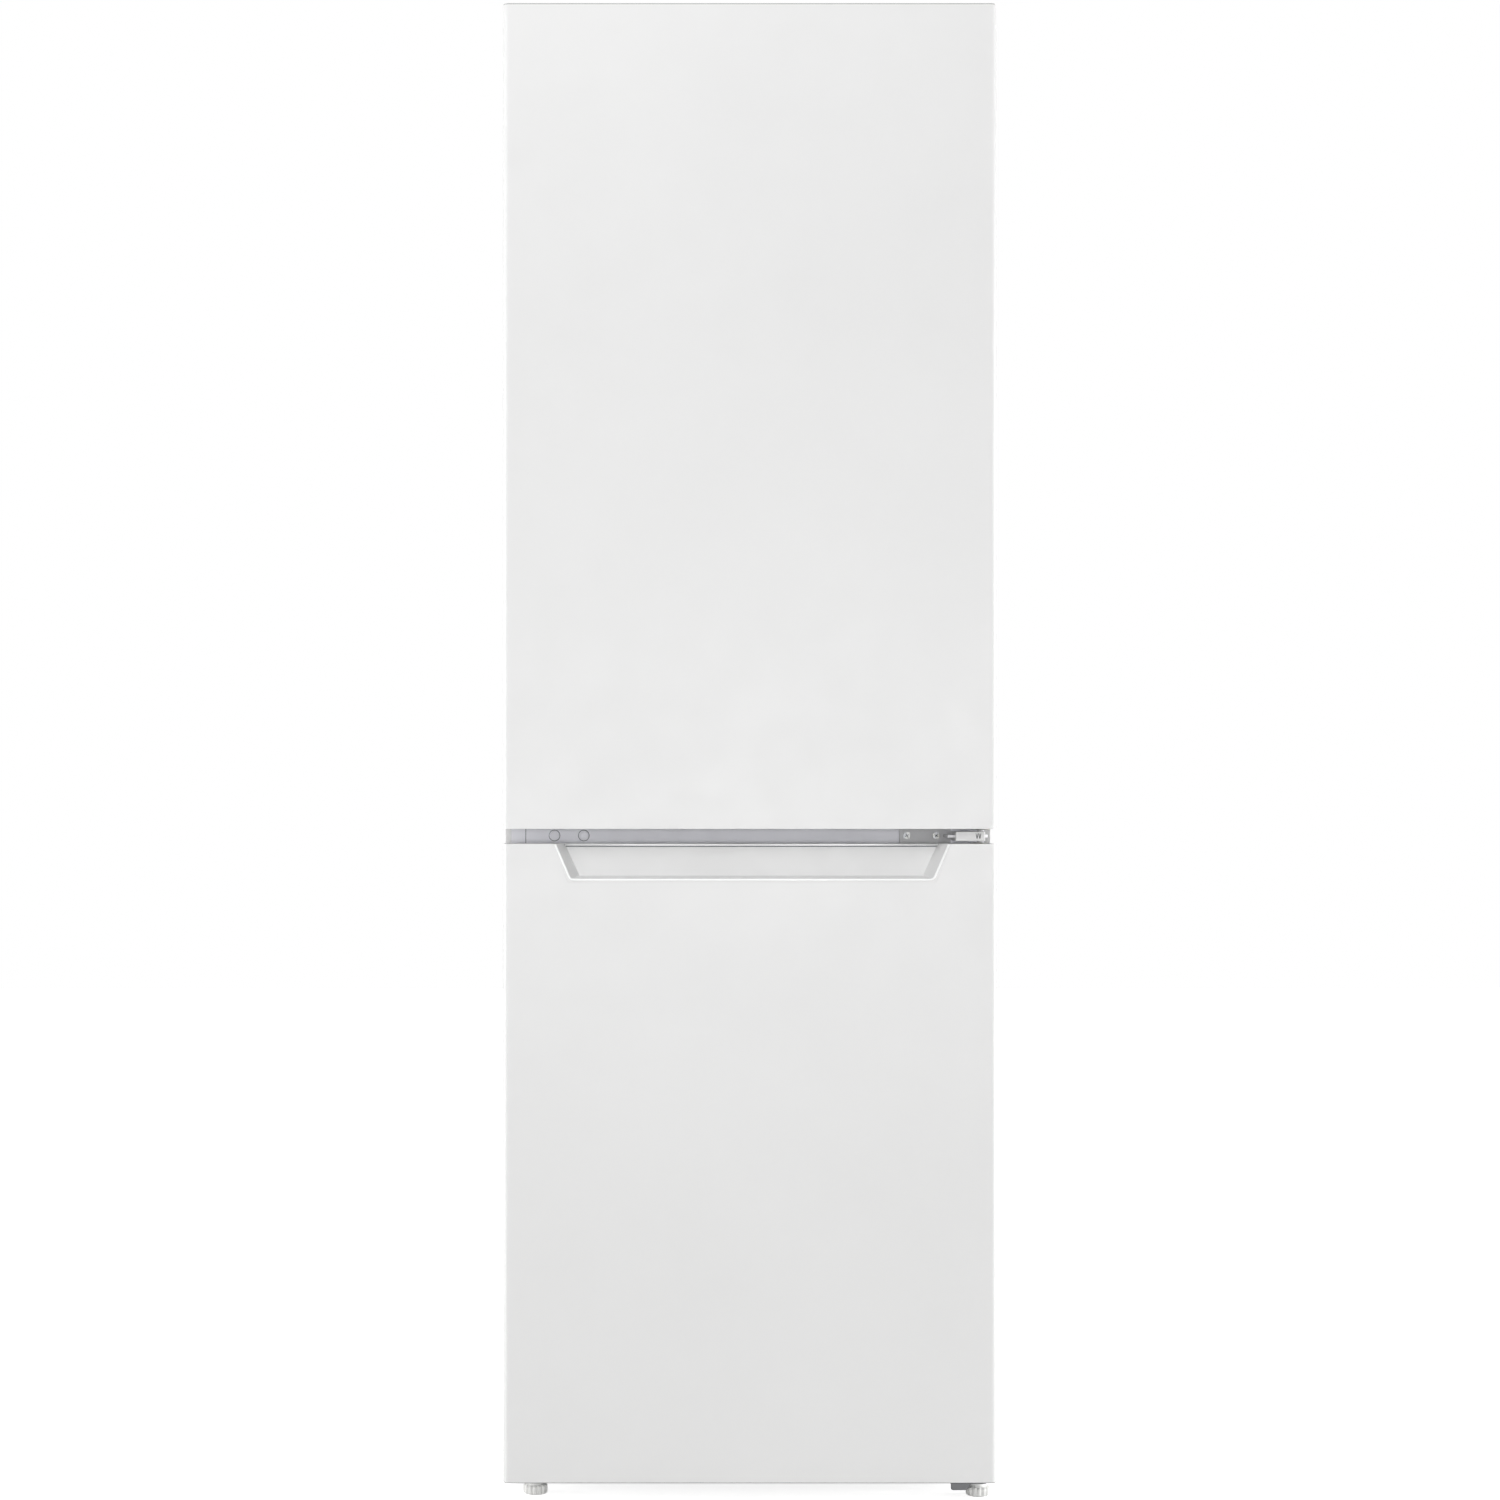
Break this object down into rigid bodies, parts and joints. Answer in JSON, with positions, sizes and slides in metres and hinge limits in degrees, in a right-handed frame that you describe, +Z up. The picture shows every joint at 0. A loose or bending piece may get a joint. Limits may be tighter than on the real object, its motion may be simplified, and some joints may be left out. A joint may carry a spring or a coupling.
{
  "type": "fridge freezer",
  "caption": "Tall free-standing fridge freezer: larder above, freezer below, two slab doors hinged on the right, grip notch in the lower door, drawers, shelves, rear condenser.",
  "frame": {"origin": "on the floor, under the middle of the object's outline", "axes": "+Z up, +X to the right as seen from the front, -Y out of the doors"},
  "size_m": [0.595, 0.6, 1.806],
  "materials": {
    "painted_sheet": "smooth white enamel",
    "zinc_sheet": "galvanised sheet",
    "foam": "rigid foam, hidden",
    "white_moulding": "satin moulded",
    "white_liner": "gloss vacuum-formed sheet",
    "grey_moulding": "fine matt",
    "light_moulding": "fine matt",
    "hinge_steel": "dark grey powder coat",
    "screw_steel": "bright zinc",
    "seal_rubber": "soft matt",
    "clear_moulding": "clear polystyrene",
    "shelf_glass": "toughened",
    "black_steel": "black paint",
    "coated_tube": "white coated steel",
    "copper_tube": "drawn copper",
    "black_plastic": "moulded",
    "grommet_rubber": "moulded",
    "aluminium_sheet": "rolled"
  },
  "bodies": {
    "cabinet": {"side_panel_left": "painted_sheet", "side_panel_right": "painted_sheet", "top_panel": "white_moulding", "back_panel": "zinc_sheet", "base_plate": "zinc_sheet", "bottom_rail": "zinc_sheet", "insulation": "foam", "fridge_liner": "white_liner", "freezer_liner": "white_liner", "middle_beam": "grey_moulding", "beam_cover": "grey_moulding", "hole_plugs": "grey_moulding", "cold_plate": "aluminium_sheet", "freezer_evaporator": "coated_tube", "compressor": "black_steel", "compressor_grommets": "grommet_rubber", "terminal_box": "black_plastic", "evaporation_tray": "black_plastic", "condenser": "black_steel", "condenser_clips": "black_plastic", "filter_drier": "copper_tube", "refrigerant_pipes": "copper_tube", "drain_tube": "light_moulding", "mains_inlet": "black_plastic", "glass_shelves": "shelf_glass", "shelf_trims": "white_moulding", "control_housing": "white_moulding", "lamp_lens": "clear_moulding", "top_hinge": "hinge_steel", "middle_hinge": "hinge_steel", "bottom_hinge": "hinge_steel", "hinge_covers": "light_moulding", "hinge_screws": "screw_steel"},
    "upper_door": {"bottle_bin": "clear_moulding", "shelf_bins": "clear_moulding", "upper_door_skin": "painted_sheet", "upper_door_foam": "foam", "upper_door_panel": "white_liner", "upper_door_top_cap": "white_moulding", "upper_door_bottom_cap": "white_moulding", "upper_door_seal": "seal_rubber", "upper_door_bushings": "light_moulding"},
    "lower_door": {"lower_door_skin": "painted_sheet", "lower_door_foam": "foam", "lower_door_panel": "white_liner", "lower_door_top_cap": "white_moulding", "lower_door_bottom_cap": "white_moulding", "lower_door_seal": "seal_rubber", "lower_door_bushings": "light_moulding"},
    "knob": {"thermostat_knob": "white_moulding"},
    "plunger": {"switch_plunger": "white_moulding"},
    "crisper": {"crisper": "clear_moulding"},
    "drawer_top": {"drawer_top": "clear_moulding"},
    "drawer_middle": {"drawer_middle": "clear_moulding"},
    "drawer_bottom": {"drawer_bottom": "clear_moulding"},
    "foot_left": {"foot_left": "light_moulding"},
    "foot_right": {"foot_right": "light_moulding"},
    "roller_left": {"roller_left": "light_moulding"},
    "roller_right": {"roller_right": "light_moulding"}
  },
  "joints": [
    {"name": "upper_door_hinge", "type": "hinge", "parent": "cabinet", "child": "upper_door", "pos_m": [0.28, -0.276, 1.3], "axis": [0, 0, 1], "range_deg": [0, 120]},
    {"name": "lower_door_hinge", "type": "hinge", "parent": "cabinet", "child": "lower_door", "pos_m": [0.28, -0.276, 0.4], "axis": [0, 0, 1], "range_deg": [0, 120]},
    {"name": "crisper_slide", "type": "slide", "parent": "cabinet", "child": "crisper", "axis": [0, -1, 0], "range_m": [0, 0.19]},
    {"name": "drawer_top_slide", "type": "slide", "parent": "cabinet", "child": "drawer_top", "axis": [0, -1, 0], "range_m": [0, 0.19]},
    {"name": "drawer_middle_slide", "type": "slide", "parent": "cabinet", "child": "drawer_middle", "axis": [0, -1, 0], "range_m": [0, 0.19]},
    {"name": "drawer_bottom_slide", "type": "slide", "parent": "cabinet", "child": "drawer_bottom", "axis": [0, -1, 0], "range_m": [0, 0.19]},
    {"name": "switch_travel", "type": "slide", "parent": "cabinet", "child": "plunger", "axis": [0, -1, 0], "range_m": [0, 0.007]},
    {"name": "knob_turn", "type": "hinge", "parent": "cabinet", "child": "knob", "pos_m": [0.045, -0.183, 1.717], "axis": [0, 1, 0], "range_deg": [0, 300]},
    {"name": "foot_left_turn", "type": "hinge", "parent": "cabinet", "child": "foot_left", "pos_m": [-0.2605, -0.24, 0], "axis": [0, 0, 1], "range_deg": [-720, 720]},
    {"name": "foot_right_turn", "type": "hinge", "parent": "cabinet", "child": "foot_right", "pos_m": [0.28, -0.25, 0], "axis": [0, 0, 1], "range_deg": [-720, 720]},
    {"name": "roller_left_spin", "type": "hinge", "parent": "cabinet", "child": "roller_left", "pos_m": [-0.2575, 0.242, 0.0145], "axis": [1, 0, 0], "continuous": true},
    {"name": "roller_right_spin", "type": "hinge", "parent": "cabinet", "child": "roller_right", "pos_m": [0.2575, 0.242, 0.0145], "axis": [1, 0, 0], "continuous": true}
  ],
  "couplings": [
    {"joint": "crisper_slide", "follows": "upper_door_hinge", "m_per_rad": 0.09},
    {"joint": "switch_travel", "follows": "upper_door_hinge", "m_per_rad": 0.002865},
    {"joint": "drawer_top_slide", "follows": "lower_door_hinge", "m_per_rad": 0.09},
    {"joint": "drawer_middle_slide", "follows": "lower_door_hinge", "m_per_rad": 0.09},
    {"joint": "drawer_bottom_slide", "follows": "lower_door_hinge", "m_per_rad": 0.09}
  ]
}
